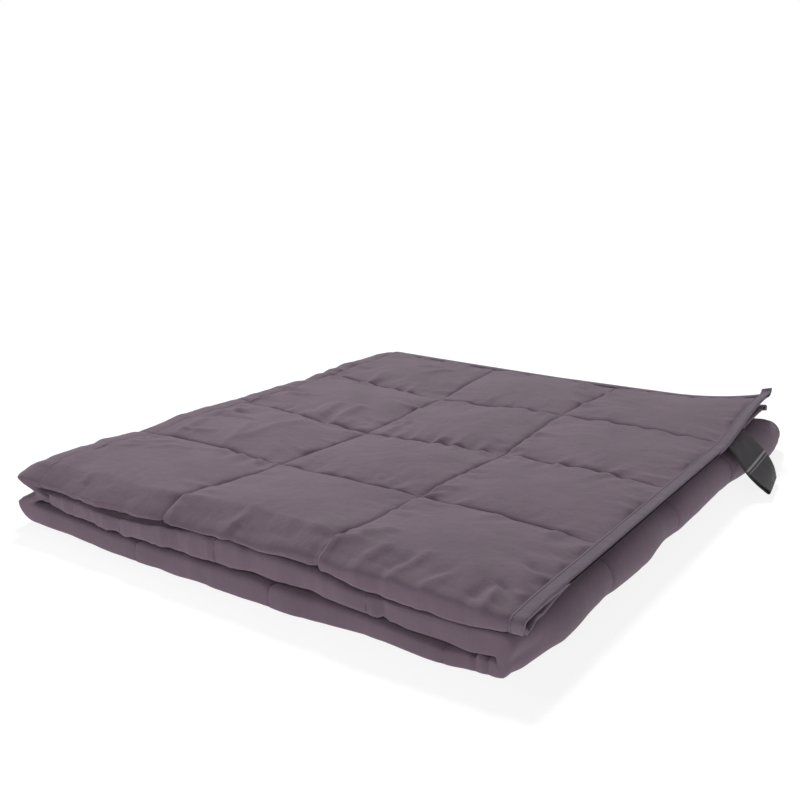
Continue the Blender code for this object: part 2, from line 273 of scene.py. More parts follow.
def path_distance(run, x):
    """Distance along the pile's path, from the end on top, of a place on a run."""
    to_bottom = TOP_END_X - LEFT_FOLD_X + math.pi * LEFT_RADIUS
    to_middle = to_bottom + RIGHT_FOLD_X - LEFT_FOLD_X + math.pi * RIGHT_RADIUS
    if run == "top":
        return TOP_END_X - x
    if run == "bottom":
        return to_bottom + x - LEFT_FOLD_X
    return to_middle + RIGHT_FOLD_X - x


def path_point(d):
    """Place and outward normal of the path at distance d: x, z, nx, nz."""
    left = path_distance("top", LEFT_FOLD_X)
    bottom = path_distance("bottom", LEFT_FOLD_X)
    right = path_distance("bottom", RIGHT_FOLD_X)
    middle = path_distance("middle", RIGHT_FOLD_X)
    a = np.clip((d - left) / LEFT_RADIUS, 0, math.pi)
    b = np.clip((d - right) / RIGHT_RADIUS, 0, math.pi)
    on_left = (d > left) & (d < bottom)
    on_right = (d > right) & (d < middle)
    x = np.where(d <= left, TOP_END_X - d, LEFT_FOLD_X + d - bottom)
    x = np.where(d >= middle, RIGHT_FOLD_X - (d - middle), x)
    x = np.where(on_left, LEFT_FOLD_X - LEFT_RADIUS * np.sin(a), x)
    x = np.where(on_right, RIGHT_FOLD_X + RIGHT_RADIUS * np.sin(b), x)
    z = np.where(d <= left, TOP_Z, BOTTOM_Z)
    z = np.where(d >= middle, MIDDLE_Z, z)
    z = np.where(on_left, MIDDLE_Z + LEFT_RADIUS * np.cos(a), z)
    z = np.where(on_right, BOTTOM_Z + RIGHT_RADIUS * (1 - np.cos(b)), z)
    nx = np.where(on_left, -np.sin(a), np.where(on_right, np.sin(b), 0.0))
    nz = np.where(d <= left, 1.0, np.where(d >= middle, 1.0, -1.0))
    nz = np.where(on_left, np.cos(a), np.where(on_right, -np.cos(b), nz))
    return x, z, nx, nz


SEAM_T = [0.0] + [BINDING_WIDTH + k * PITCH_T for _, k, _ in SEAMS] + [LENGTH]
SEAM_D = [0.0] + [path_distance(run, x) for run, _, x in SEAMS]
SEAM_D.append(SEAM_D[-1] + BINDING_WIDTH)
REACH_D = [path_distance(run, x) for run, x, _, _ in REACH]
FRONT_Y = [front for _, _, front, _ in REACH]
BACK_Y = [back for _, _, _, back in REACH]

# Seams that part the runs: the last on top, the first of the bottom, one of the middle
LAST_TOP_D, FIRST_BOTTOM_D, MIDDLE_D = SEAM_D[4], SEAM_D[5], SEAM_D[9]


def stray(s, t, d):
    """Small drift of the seams on the top pair, in X and Y."""
    fade = 1 - smooth((d - STRAY_END) / STRAY_FADE)
    i = (t - BINDING_WIDTH) / PITCH_T
    j = np.abs(s) / PITCH_S
    dx = np.zeros_like(d)
    dy = np.zeros_like(d)
    for seam, row, x_off, y_off in STRAY:
        w = smooth(1 - np.abs(i - seam)) * smooth(1 - np.abs(j - row)) * fade
        dx += w * x_off
        dy += w * y_off
    return dx, dy


def fold(s, t, m):
    """Folded place of the flat point (s, t), a height m above the seams' plane."""
    s, t, m = (np.asarray(v, dtype=float) for v in np.broadcast_arrays(s, t, m))
    d = np.interp(t, SEAM_T, SEAM_D)
    quarter = LAYER_OFFSET * math.pi / 2
    front = np.interp(d, REACH_D, FRONT_Y) + CROWN_OUT * FRONT_FULLNESS + LAYER_OFFSET
    back = np.interp(d, REACH_D, BACK_Y)
    run = (back - front + quarter) / (WIDTH / 2)
    q = s * run
    x, z, nx, nz = path_point(d)
    angle = np.clip(q / LAYER_OFFSET, -math.pi / 2, math.pi / 2)
    free = smooth(0.5 + 2 * angle) * smooth((nz + 0.5) * 2) * (d < FIRST_BOTTOM_D)
    roundness = ROLL_PRESSED + (ROLL_ROUND - ROLL_PRESSED) * free
    roundness = roundness + (1 - roundness) * bump(t / END_ROUND_T)
    forward = np.cos(angle) ** roundness
    outward = np.sign(angle) * np.abs(np.sin(angle)) ** roundness
    beyond = np.maximum(np.abs(q) - quarter, 0)
    y = front - (LAYER_OFFSET + m) * forward + beyond
    n = (LAYER_OFFSET + m) * outward
    opening = bump(t / END_OPENING_T) * bump(s / END_OPENING_S)
    n = n - END_OPENING * smooth(-angle) * opening
    ripple = noise(51, s / END_CRUMPLE_PITCH, t / END_CRUMPLE_RUN) * bump(t / END_CRUMPLE_T)
    n = n + END_CRUMPLE * ripple * within(-s, *END_CRUMPLE_BAND)
    x = x + n * nx
    z = z + n * nz
    dx, dy = stray(s, t, d)
    dx -= TUCK * smooth(-s / TUCK_WIDTH) * smooth(1 - d / TUCK_WIDTH)
    x, y, z = settle(x + dx, y + dy, z, d, front, s)
    return np.stack([x - CENTRE_X, y - CENTRE_Y, z], axis=-1)


def corner_share(x, y):
    """How far a point of the top pair takes part in its lifted back corner."""
    along = np.clip(1 - (TOP_END_X - x) / CORNER_REACH, 0, 1)
    return smooth((y - CORNER_Y) / CORNER_RUN) * along ** 2


def settle(x, y, z, d, front, s):
    """Gives the folded pile its full rolls, pinched corners and lifted ends.

    Each step moves the cloth along one direction only, by an amount that changes slowly
    along it, so the layers keep their order.
    """
    depth = np.maximum(y - front, 0)
    lift = np.interp(x, *zip(*ROLL_LIFT))
    seat = (MIDDLE_Z + TOP_Z) / 2
    share = smooth(z / seat) - TOP_ROLL_SLACK * smooth((z - seat) / PAIR_HEIGHT)
    z = z + lift * share * bump(depth / ROLL_REACH)
    ys, left_shift, right_shift = zip(*END_SHIFTS)
    x = x + np.interp(y, ys, left_shift) * smooth((EDGE_START_X - x) / EDGE_RUN)
    shift = np.interp(y, ys, right_shift) * smooth((x - EDGE_START_X) / EDGE_RUN)
    x = x + shift * (d > LAST_TOP_D)
    for start, run, side, amount, height, half, reach, last in PINCHES:
        w = smooth(side * (x - start) / run) * bump((z - height) / half)
        w = w * np.clip(1 - depth / reach, 0, 1) * (d < SEAM_D[last + 1])
        x = x - side * amount * w
    start, run, amount, reach = MIDDLE_END
    w = smooth((start - x) / run) * np.clip(1 - depth / reach, 0, 1) * (d > MIDDLE_D)
    x = x - amount * w
    low = np.clip(LEFT_LIFT_SHARE - z / TOP_Z, 0, 1)
    raised = smooth((LEFT_LIFT_X - x) / LEFT_LIFT_RUN) * low
    z = z + LEFT_LIFT * raised * (1 - LEFT_LIFT_BACK * smooth(y / LEFT_LIFT_BACK_RUN))
    near = bump(depth / DROOP_REACH)
    places, *sinks = zip(*DROOP)
    for sink, (height, spread) in zip(sinks, DROOP_GAPS):
        z = z - np.interp(x, places, sink) * near * bump((z - height) / spread)
    places, drops, reaches = zip(*SHOULDER)
    behind = np.maximum(y - front + LAYER_OFFSET + CROWN_OUT, 0)
    slope = np.clip(1 - behind / np.interp(x, places, reaches), 0, 1) ** SHOULDER_BEND
    slope = slope * (d < FIRST_BOTTOM_D)
    z = z - np.interp(x, places, drops) * smooth((z - SHOULDER_Z) / SHOULDER_RUN) * slope
    corner = corner_share(x, y) * (d < LAST_TOP_D) * np.where(s < 0, LOWER_CORNER_SHARE, 1.0)
    x = x - CORNER_INSET * corner
    z = z + CORNER_LIFT * corner
    return x, y, np.maximum(z, 0.0)


# ------------------------------------------------------------- the cloth's fine relief

# Places along T: the middles of both folds, and the seam beside the left one
LEFT_FOLD_T = 0.642
RIGHT_FOLD_T = 1.260
LEFT_SEAM_T = BINDING_WIDTH + 3 * PITCH_T

# Section of a pocket: how much of it rises at once beside the stitches, and how round it is
STEEP_SHARE = 0.35
STEEP_RUN = 0.0018
ROUNDING = 0.80
LOOSE_CROWN = 0.0044
SEAM_SINK = 0.0012
FIRST_RISE = 0.0080
HEM_RISE = 0.0040
OFF_SEAM_GAIN = 1.6

# The folds pull the seams that cross them nearly flat
FOLD_TENSION = 0.60
FOLD_TENSION_RUN = 0.045
LEFT_SEAM_RUN = 0.030
LEFT_SEAM_FRONT = 0.20
LEFT_SEAM_FADE = 0.12

# Seams on the front rolls: depth as a share of the crown, how far back they go, half width
SPINE_SEAM_DEPTH = 0.10
SPINE_SEAM_WIDTH = 0.30
ROLL_SEAM_DEPTH = {"top": 0.75, "bottom": 0.50, "middle": 0.12}
ROLL_SEAM_WIDTH = 0.045
ROLL_SEAM_RUN = 0.0030
BOTTOM_SEAM_FADE = 0.012
RUN_BLEND = 0.02

# Puckers that the sewing draws up beside a seam
PUCKER_PITCH = 0.0125
PUCKER_LENGTH = 0.040
PUCKER_LEAN = 0.6
PUCKER_FADE = 0.022
PUCKER_START = 0.0030
PUCKER_HEIGHT = 0.0038
PUCKER_VARY = 0.110
PUCKER_MEAN = 0.75
PUCKER_LEAST = 0.05

# Soft slack of the loose top cloth, in long low waves across the pockets
SLACK_LENGTH = 0.110
SLACK_WIDTH = 0.030
SLACK_TURN = math.radians(35)
SLACK_CROSS = 0.4
SLACK_HEIGHT = 0.0015

# Crumpled front rolls: T where each starts and ends, pitch along the roll, height
ROLL_CRUMPLES = (
    (0.000, 0.620, 0.030, 0.0016),
    (0.640, 1.240, 0.030, 0.0009),
    (1.260, 1.960, 0.024, 0.0013),
)
ROLL_CRUMPLE_BAND = 0.013
ROLL_CRUMPLE_FADE = 0.03
# Two crossing sets of dents: first seed, lean, share of the pitch, length, strength
ROLL_DENTS = ((31, 0.8, 1.00, 0.012, 1.0), (35, -0.9, 0.45, 0.007, 0.5))

# Where the loose upper cloth shows: on the top, up to the left fold, and on the right fold
SIGHT_S = 0.004
SIGHT_FADE = 0.03
SIGHT_TOP_T = 0.69
SIGHT_RIGHT_T = (1.20, 1.31)

# Main creases, listed one by one. Each end is given in pockets, along from the bound end and
# back from the front fold; then the half width and the height (a trough is negative)
CREASES = (
    (2.95, 0.72, 2.70, 0.92, 0.0060, 0.0030),
    (2.94, 0.60, 2.78, 0.78, 0.0050, 0.0021),
    (3.05, 0.88, 2.80, 0.97, 0.0050, -0.0024),
    (2.84, 0.98, 2.90, 1.45, 0.0060, 0.0033),
    (2.45, 1.00, 2.60, 1.55, 0.0070, 0.0030),
    (2.47, 1.05, 2.40, 1.90, 0.0080, 0.0027),
    (2.97, 1.44, 2.78, 2.00, 0.0070, 0.0033),
    (2.90, 2.04, 2.70, 1.96, 0.0050, -0.0033),
    (2.66, 1.90, 2.67, 2.12, 0.0050, -0.0039),
    (2.40, 1.98, 2.43, 2.35, 0.0060, 0.0042),
    (2.33, 1.92, 2.08, 1.98, 0.0050, -0.0030),
    (2.67, 0.00, 2.71, 0.16, 0.0050, 0.0033),
    (3.02, 0.36, 2.98, 0.56, 0.0045, -0.0030),
    (1.97, 0.08, 1.90, -0.02, 0.0040, 0.0030),
    (1.60, -0.03, 1.52, 0.14, 0.0060, 0.0030),
    (1.55, -0.05, 1.50, 0.05, 0.0050, -0.0033),
    (2.66, -0.04, 2.69, 0.06, 0.0070, -0.0027),
    (2.50, -0.04, 2.54, 0.07, 0.0070, 0.0024),
    (2.27, -0.04, 2.31, 0.05, 0.0060, -0.0024),
    (2.45, 2.05, 2.48, 2.30, 0.0050, 0.0033),
    (2.30, 2.01, 2.28, 2.42, 0.0060, 0.0039),
    (2.16, 1.98, 2.10, 2.18, 0.0050, 0.0033),
    (2.60, 2.92, 2.70, 3.30, 0.0060, 0.0030),
    (2.58, 3.60, 2.33, 3.72, 0.0060, 0.0024),
    (2.43, 3.42, 2.24, 3.68, 0.0060, 0.0027),
    (1.88, 2.08, 1.86, 2.36, 0.0060, 0.0033),
    (1.52, 1.96, 1.42, 2.12, 0.0045, 0.0027),
    (1.30, 1.00, 1.34, 1.16, 0.0045, 0.0024),
    (1.02, 0.04, 0.80, 0.44, 0.0080, 0.0039),
    (1.00, 0.12, 0.86, 0.20, 0.0060, 0.0027),
    (1.02, -0.06, 1.03, 0.17, 0.0030, -0.0039),
    (0.97, -0.05, 0.98, 0.16, 0.0045, 0.0033),
    (2.92, 1.56, 2.62, 1.60, 0.0055, 0.0030),
    (2.94, 1.66, 2.72, 1.74, 0.0050, -0.0027),
    (2.90, 1.12, 2.66, 1.22, 0.0055, 0.0027),
    (2.80, 0.70, 2.55, 0.80, 0.0060, 0.0024),
    (2.92, 2.30, 2.66, 2.40, 0.0055, 0.0027),
    (2.55, 0.86, 2.30, 0.93, 0.0050, 0.0021),
    (0.80, -0.03, 0.72, 0.24, 0.0065, 0.0036),
    (0.66, -0.04, 0.58, 0.22, 0.0060, -0.0030),
    (0.62, -0.04, 0.52, 0.30, 0.0060, 0.0033),
    (0.45, -0.03, 0.36, 0.16, 0.0050, 0.0030),
    (0.22, -0.02, 0.18, 0.20, 0.0055, -0.0030),
    (0.12, 0.00, 0.14, 0.18, 0.0045, 0.0036),
    (0.03, 0.14, 0.16, 0.24, 0.0040, -0.0039),
    (0.03, 0.26, 0.13, 0.38, 0.0040, 0.0030),
    (0.04, 0.42, 0.14, 0.50, 0.0045, -0.0030),
    (8.30, 0.040, 9.35, 0.030, 0.0018, -0.0060),
    (6.92, -0.06, 6.93, 0.08, 0.0028, -0.00675),
    (6.10, -0.09, 6.15, 0.05, 0.0016, -0.0054),
    (6.135, -0.09, 6.18, 0.05, 0.0020, 0.0033),
    (6.17, -0.08, 6.21, 0.04, 0.0015, -0.0054),
    (6.27, -0.10, 6.25, 0.00, 0.0018, 0.0036),
    (6.31, -0.10, 6.28, -0.01, 0.0016, -0.0060),
)
# Creases lie behind the front fold on the top, and only on the front face of the bottom
CREASE_BACK = -0.020
CREASE_BACK_RUN = 0.034
CREASE_FACE = (-0.022, 0.004, 0.008, 0.010)
CREASE_BOTTOM_END = 0.03


def seam_offset(offset, pitch, count):
    """Signed distance to the nearest seam, and that seam's number."""
    number = np.clip(np.round(offset / pitch), 0, count)
    return offset - number * pitch, number


def rise(offset, pitch, count):
    """Share of the crown beside a seam: steep at the stitches, then a low dome."""
    away = np.abs(seam_offset(offset, pitch, count)[0])
    dome = np.abs(np.sin(math.pi * np.clip(offset / pitch, 0, count))) ** ROUNDING
    steep = 1 - np.exp(-away / STEEP_RUN)
    inside = (offset > -1e-9) & (offset < count * pitch + 1e-9)
    return ((1 - STEEP_SHARE) * dome + STEEP_SHARE * steep) * inside


def crown_across(s, t):
    """Share of the crown that the seams along the blanket leave."""
    across = rise(s + WIDTH / 2 - BINDING_WIDTH, PITCH_S, ROWS)
    on_spine = bump(s / (SPINE_SEAM_WIDTH * PITCH_S))
    across = np.maximum(across, on_spine * (1 - SPINE_SEAM_DEPTH))
    tight = sum(bump((t - place) / FOLD_TENSION_RUN) for place in (LEFT_FOLD_T, RIGHT_FOLD_T))
    quilted = np.abs(s) < WIDTH / 2 - BINDING_WIDTH
    return across + (1 - across) * FOLD_TENSION * tight * quilted


def crown_along(s, t):
    """Share of the crown that the seams across the blanket leave, shallow on the rolls."""
    offset = t - BINDING_WIDTH
    along = rise(offset, PITCH_T, COLUMNS)
    front = smooth((LEFT_SEAM_FRONT - np.abs(s)) / LEFT_SEAM_FADE)
    tension = FOLD_TENSION + (1 - FOLD_TENSION) * front
    along = along + (1 - along) * tension * bump((t - LEFT_SEAM_T) / LEFT_SEAM_RUN)
    in_bottom = within(t, LEFT_FOLD_T, RIGHT_FOLD_T, RUN_BLEND, RUN_BLEND)
    in_middle = smooth((t - RIGHT_FOLD_T) / RUN_BLEND)
    depth = ROLL_SEAM_DEPTH["top"] * (1 - in_bottom - in_middle)
    depth = depth + ROLL_SEAM_DEPTH["middle"] * in_middle
    depth = depth + ROLL_SEAM_DEPTH["bottom"] * in_bottom * smooth(0.5 - s / BOTTOM_SEAM_FADE)
    away = np.abs(seam_offset(offset, PITCH_T, COLUMNS)[0])
    notch = 1 - depth * np.exp(-away / ROLL_SEAM_RUN)
    on_roll = bump(s / ROLL_SEAM_WIDTH) * smooth(np.minimum(t, LENGTH - t) / PITCH_T)
    return along + (np.maximum(along, notch) - along) * on_roll


def crown(s, t):
    """Share of the full crown at a flat point: 0 on every seam, 1 in a pocket."""
    return crown_across(s, t) * crown_along(s, t)


def puckers(s, t):
    """Short ridges that stand off the seams and die out in the pockets.

    Each seam's number, times a factor that isn't whole, gives it its own part of the noise.
    """
    total = np.zeros_like(s)
    for seed, offset, pitch, count, run in (
        (11, s + WIDTH / 2 - BINDING_WIDTH, PITCH_S, ROWS, t),
        (12, t - BINDING_WIDTH, PITCH_T, COLUMNS, s),
    ):
        away, number = seam_offset(offset, pitch, count)
        lean = PUCKER_LEAN * noise(seed + 2, run / PUCKER_VARY, number * 3.7)
        out = away / PUCKER_LENGTH + number * 7.3
        ridge = noise(seed, (run + lean * away) / PUCKER_PITCH, out)
        wave = noise(seed + 4, run / PUCKER_VARY, number * 5.1 + np.sign(away))
        strength = np.clip(PUCKER_MEAN * (1 + wave), PUCKER_LEAST, None)
        away = np.abs(away)
        shape = np.exp(-away / PUCKER_FADE) * (1 - np.exp(-away / PUCKER_START))
        total += ridge * strength * shape
    return PUCKER_HEIGHT * total


def slack(s, t):
    """Long low waves of the loose cloth."""
    u = s * math.cos(SLACK_TURN) + t * math.sin(SLACK_TURN)
    v = t * math.cos(SLACK_TURN) - s * math.sin(SLACK_TURN)
    wave = noise(21, u / SLACK_LENGTH, v / SLACK_WIDTH)
    return SLACK_HEIGHT * (wave + SLACK_CROSS * noise(22, u / SLACK_WIDTH, v / SLACK_LENGTH))


def creases(s, t):
    """The listed creases, each a soft ridge or trough along a line."""
    total = np.zeros_like(s)
    for column0, row0, column1, row1, width, height in CREASES:
        s0, s1 = row0 * PITCH_S, row1 * PITCH_S
        t0, t1 = (BINDING_WIDTH + column * PITCH_T for column in (column0, column1))
        length = math.hypot(s1 - s0, t1 - t0)
        along = ((s - s0) * (s1 - s0) + (t - t0) * (t1 - t0)) / length ** 2
        off = ((s - s0) * (t1 - t0) - (t - t0) * (s1 - s0)) / length
        ends = np.clip(4 * along * (1 - along), 0, 1) ** 0.5
        total += height * ends * bump(off / width)
    end = RIGHT_FOLD_T + CREASE_BOTTOM_END
    on_bottom = within(t, LEFT_FOLD_T, end, RUN_BLEND, RUN_BLEND)
    behind = smooth((s - CREASE_BACK) / CREASE_BACK_RUN)
    return total * (behind * (1 - on_bottom) + within(s, *CREASE_FACE) * on_bottom)


def crumple(s, t):
    """Dents and puckers on the front rolls."""
    total = np.zeros_like(s)
    for number, (start, end, pitch, height) in enumerate(ROLL_CRUMPLES):
        on_roll = within(t, start, end, ROLL_CRUMPLE_FADE, ROLL_CRUMPLE_FADE)
        for seed, lean, share, length, strength in ROLL_DENTS:
            dents = noise(seed + number, (t + lean * s) / (share * pitch), s / length)
            total += height * on_roll * strength * dents
    return total * bump(s / ROLL_CRUMPLE_BAND)


def in_sight(s, t):
    """Where the cloth's upper face is loose and shows: the top, the folds and the rolls."""
    on_top = 1 - smooth((t - SIGHT_TOP_T) / SIGHT_FADE)
    on_right = within(t, *SIGHT_RIGHT_T, SIGHT_FADE, SIGHT_FADE)
    return smooth((s - SIGHT_S) / SIGHT_FADE) * (on_top + on_right)


def edge_distance(s, t):
    """Distance in from the nearest cut edge."""
    return np.minimum(WIDTH / 2 - np.abs(s), np.minimum(t, LENGTH - t))


def sewn_half(s, t):
    """Half the thickness of the cloth where nothing fills it."""
    in_hem = edge_distance(s, t) < BINDING_WIDTH + FIRST_RISE / 2
    return np.where(in_hem, EDGE_HALF, SEAM_HALF)


def face_height(s, t):
    """Height of the cloth's upper face above the seams' plane."""
    share = crown(s, t)
    quilted = smooth((edge_distance(s, t) - BINDING_WIDTH) / HEM_RISE)
    off_seam = np.clip(share * OFF_SEAM_GAIN, 0, 1)
    loose = puckers(s, t) + off_seam * slack(s, t) + LOOSE_CROWN * share
    loose = in_sight(s, t) * quilted * (loose - SEAM_SINK * (1 - share))
    relief = quilted * off_seam * (creases(s, t) + crumple(s, t))
    return sewn_half(s, t) + share * (CROWN_OUT - SEAM_HALF) + loose + relief


def back_height(s, t):
    """Depth of the cloth's lower face below the seams' plane."""
    return -sewn_half(s, t) - crown(s, t) * (CROWN_IN - SEAM_HALF)


# ------------------------------------------------------------------------- cloth meshes

# Coarse cells to a pocket, and shares at which a cell is split where more detail shows
COARSE_CELLS = 14
FINE_SPLIT = (0.0, 0.25, 0.5, 0.75)
SEAM_SPLIT = (0.0, 0.07, 0.18, 0.38, 0.68)
SPINE_SPLIT = tuple(k / 12 for k in range(12))
CREASED_SPLIT = tuple(k / 8 for k in range(8))
HEM_STEPS = (0.0018, 0.0080)
# Lines of each pocket that the lower face keeps where it is hidden
HIDDEN_LINES = (0, 3, 7, 11)


def pocket_lines(count, pitch, start):
    """Coarse lines of the flat grid, with every seam among them."""
    return start + np.arange(count * COARSE_CELLS + 1) * pitch / COARSE_CELLS


def refined(lines, low, high, spine=False, creased=False):
    """Splits the cells between low and high, closer beside the seams.

    On the spine the middle cells are split finest, and a creased part is split evenly.
    """
    out = []
    for k, (a, b) in enumerate(zip(lines[:-1], lines[1:])):
        out.append(a)
        middle = (a + b) / 2
        if low < middle < high:
            if spine and abs(middle) < PITCH_S / COARSE_CELLS:
                shares = SPINE_SPLIT
            elif creased:
                shares = CREASED_SPLIT
            elif k % COARSE_CELLS == 0:
                shares = SEAM_SPLIT
            elif k % COARSE_CELLS == COARSE_CELLS - 1:
                shares = tuple(1 - share for share in reversed(SEAM_SPLIT[1:])) + (0.0,)
            else:
                shares = FINE_SPLIT
            out += [a + (b - a) * share for share in sorted(shares) if share > 0]
    return np.array(out + [lines[-1]])


def with_hems(lines, low, high):
    """Adds the cut edges and the steps of the hems beside them."""
    first = [low] + [low + step for step in HEM_STEPS]
    last = [high - step for step in reversed(HEM_STEPS)] + [high]
    return np.array(first + list(lines) + last)


S_COARSE = pocket_lines(ROWS, PITCH_S, BINDING_WIDTH - WIDTH / 2)
T_COARSE = pocket_lines(COLUMNS, PITCH_T, BINDING_WIDTH)
SPINE_S = 3 * PITCH_S / COARSE_CELLS

# Spans of T round the left fold, round the right one and at the crumpled near corner, and
# the end of the bound part of the front roll
LEFT_T = T_COARSE[3 * COARSE_CELLS], T_COARSE[3 * COARSE_CELLS + 8]
RIGHT_T = T_COARSE[6 * COARSE_CELLS], T_COARSE[6 * COARSE_CELLS + 7]
CORNER_T = T_COARSE[6 * COARSE_CELLS - 1], T_COARSE[6 * COARSE_CELLS + 5]
BOUND_T = T_COARSE[2]


def between(lines, low, high):
    """The lines from low to high, both ends included."""
    return lines[(lines > low - 1e-6) & (lines < high + 1e-6)]


def merged(*groups):
    """One set of lines out of several, in order."""
    return np.unique(np.round(np.concatenate(groups), 7))


def thinned(lines, *kept):
    """A few lines to a pocket, with all of those inside the kept spans."""
    keep = np.isin(np.arange(len(lines)) % COARSE_CELLS, HIDDEN_LINES)
    for low, high in kept:
        keep |= (lines > low) & (lines < high)
    return lines[keep]


class Patchwork:
    """Rectangular grids of one flat cloth, sewn where they meet without a gap."""

    def __init__(self):
        self.index = {}
        self.flat = []
        self.on_s = {}
        self.on_t = {}
        self.faces = []

    def key(self, v):
        """A length as a whole number, so that equal places compare equal."""
        return int(round(v * 1e6))

    def point(self, s, t):
        """Number of the point at a flat place, made if it is new."""
        where = self.key(s), self.key(t)
        if where not in self.index:
            self.index[where] = len(self.flat)
            self.flat.append((s, t))
            self.on_s.setdefault(where[0], set()).add(where[1])
            self.on_t.setdefault(where[1], set()).add(where[0])
        return self.index[where]

    def side(self, a, b):
        """Points on a cell's side from a up to, but not with, b."""
        (s0, t0), (s1, t1) = a, b
        line, start, end = (self.on_s[s0], t0, t1) if s0 == s1 else (self.on_t[t0], s0, s1)
        low, high = min(start, end), max(start, end)
        mids = sorted((v for v in line if low < v < high), reverse=start > end)
        mids = [(s0, v) if s0 == s1 else (v, t0) for v in mids]
        return [self.index[p] for p in [a] + mids]

    def add(self, zones):
        """Makes the cells of every zone, each given by its lines of S and of T."""
        for s_lines, t_lines in zones:
            for s in s_lines:
                for t in t_lines:
                    self.point(s, t)
        for s_lines, t_lines in zones:
            ss = [self.key(v) for v in s_lines]
            ts = [self.key(v) for v in t_lines]
            for i in range(len(ss) - 1):
                for j in range(len(ts) - 1):
                    a, b = (ss[i], ts[j]), (ss[i], ts[j + 1])
                    c, d = (ss[i + 1], ts[j + 1]), (ss[i + 1], ts[j])
                    if i in (0, len(ss) - 2) or j in (0, len(ts) - 2):
                        sides = (a, b), (b, c), (c, d), (d, a)
                        self.faces.append([k for ends in sides for k in self.side(*ends)])
                    else:
                        self.faces.append([self.index[p] for p in (a, b, c, d)])


def cloth_object(name, points, faces, flat, material):
    """A smooth closed cloth whose UV map holds its flat place in metres."""
    mesh = bpy.data.meshes.new(name)
    mesh.from_pydata([tuple(p) for p in points], [], faces)
    uv = mesh.uv_layers.new(name="flat")
    corners = np.empty(len(mesh.loops), dtype=np.int32)
    mesh.loops.foreach_get("vertex_index", corners)
    uv.data.foreach_set("uv", np.asarray(flat, dtype=np.float32)[corners].ravel())
    mesh.shade_smooth()
    mesh.materials.append(material)
    mesh.validate()
    obj = bpy.data.objects.new(name, mesh)
    bpy.context.collection.objects.link(obj)
    return obj


def panel_patches():
    """Upper and lower face of the flat cloth, finest where it shows, and the rim's lines."""
    half = WIDTH / 2
    s_all = with_hems(S_COARSE, -half, half)
    s_fine = with_hems(refined(S_COARSE, 0, half), -half, half)
    s_spine = refined(S_COARSE, -SPINE_S, SPINE_S, spine=True)
    t_all = with_hems(T_COARSE, 0, LENGTH)
    t_fine = with_hems(refined(T_COARSE, 0, LENGTH), 0, LENGTH)
    t_folds = merged(t_all, between(t_fine, *LEFT_T), between(t_fine, *RIGHT_T))
    t_corner = refined(T_COARSE, *CORNER_T, creased=True)
    t_bound = with_hems(refined(T_COARSE, 0, BOUND_T, creased=True), 0, LENGTH)
    front_roll = between(s_spine, -SPINE_S, SPINE_S)
    upper_layer = between(s_fine, SPINE_S, half)
    upper_hidden = between(s_all, SPINE_S, half)
    upper = Patchwork()
    upper.add([
        (between(s_all, -half, -SPINE_S), t_folds),
        (front_roll, between(t_bound, 0, BOUND_T)),
        (front_roll, between(t_fine, BOUND_T, CORNER_T[0])),
        (front_roll, between(t_corner, *CORNER_T)),
        (front_roll, between(t_fine, CORNER_T[1], LENGTH)),
        (upper_layer, between(t_fine, 0, LEFT_T[1])),
        (upper_hidden, between(t_folds, LEFT_T[1], RIGHT_T[0])),
        (upper_layer, between(t_fine, *RIGHT_T)),
        (upper_hidden, between(t_folds, RIGHT_T[1], LENGTH)),
    ])
    s_lower = with_hems(thinned(S_COARSE, (-SPINE_S, SPINE_S)), -half, half)
    s_lower = merged(s_lower, between(s_spine, -SPINE_S / 3, SPINE_S / 3)[::3])
    t_lower = with_hems(thinned(T_COARSE, LEFT_T, RIGHT_T), 0, LENGTH)
    t_lower = merged(t_lower, *(between(t_fine, *span)[::2] for span in (LEFT_T, RIGHT_T)))
    lower = Patchwork()
    lower.add([(s_lower, t_lower)])
    return upper, lower, s_lower, t_lower


def make_panel(material):
    """The quilted cloth: both faces, joined all the way round at the cut edge."""
    upper, lower, s_lower, t_lower = panel_patches()
    top, bottom = np.array(upper.flat), np.array(lower.flat)
    points = np.vstack([
        fold(*top.T, face_height(*top.T)),
        fold(*bottom.T, back_height(*bottom.T)),
    ])
    count = len(top)
    faces = [ring[::-1] for ring in upper.faces]
    faces += [[count + k for k in ring] for ring in lower.faces]
    rims = (
        ([(-WIDTH / 2, t) for t in t_lower], False),
        ([(WIDTH / 2, t) for t in t_lower], True),
        ([(s, 0.0) for s in s_lower], True),
        ([(s, LENGTH) for s in s_lower], False),
    )
    for rim, keeps_order in rims:
        keys = [(upper.key(s), upper.key(t)) for s, t in rim]
        for here, there in zip(keys[:-1], keys[1:]):
            ring = upper.side(here, there) + [upper.index[there]]
            ring += [count + lower.index[there], count + lower.index[here]]
            faces.append(ring if keeps_order else ring[::-1])
    return cloth_object("quilted_cloth", points, faces, np.vstack([top, bottom]), material)


# ----------------------------------------------------------------------------- materials

def linear(colour):
    """Linear colour of an sRGB hex value."""
    parts = [int(colour[k:k + 2], 16) / 255 for k in (0, 2, 4)]
    return [c / 12.92 if c <= 0.04045 else ((c + 0.055) / 1.055) ** 2.4 for c in parts] + [1.0]


def add_node(tree, kind, inputs=None, **settings):
    """Adds a node, with its settings and what goes into it: values or other outputs."""
    node = tree.nodes.new("ShaderNode" + kind)
    for name, value in settings.items():
        setattr(node, name, value)
    for name, value in (inputs or {}).items():
        if isinstance(value, bpy.types.NodeSocket):
            tree.links.new(value, node.inputs[name])
        else:
            node.inputs[name].default_value = value
    return node


def wave_scale(spacing):
    """Scale of a Wave texture whose bands repeat after a spacing in metres."""
    return math.pi / (10 * spacing)


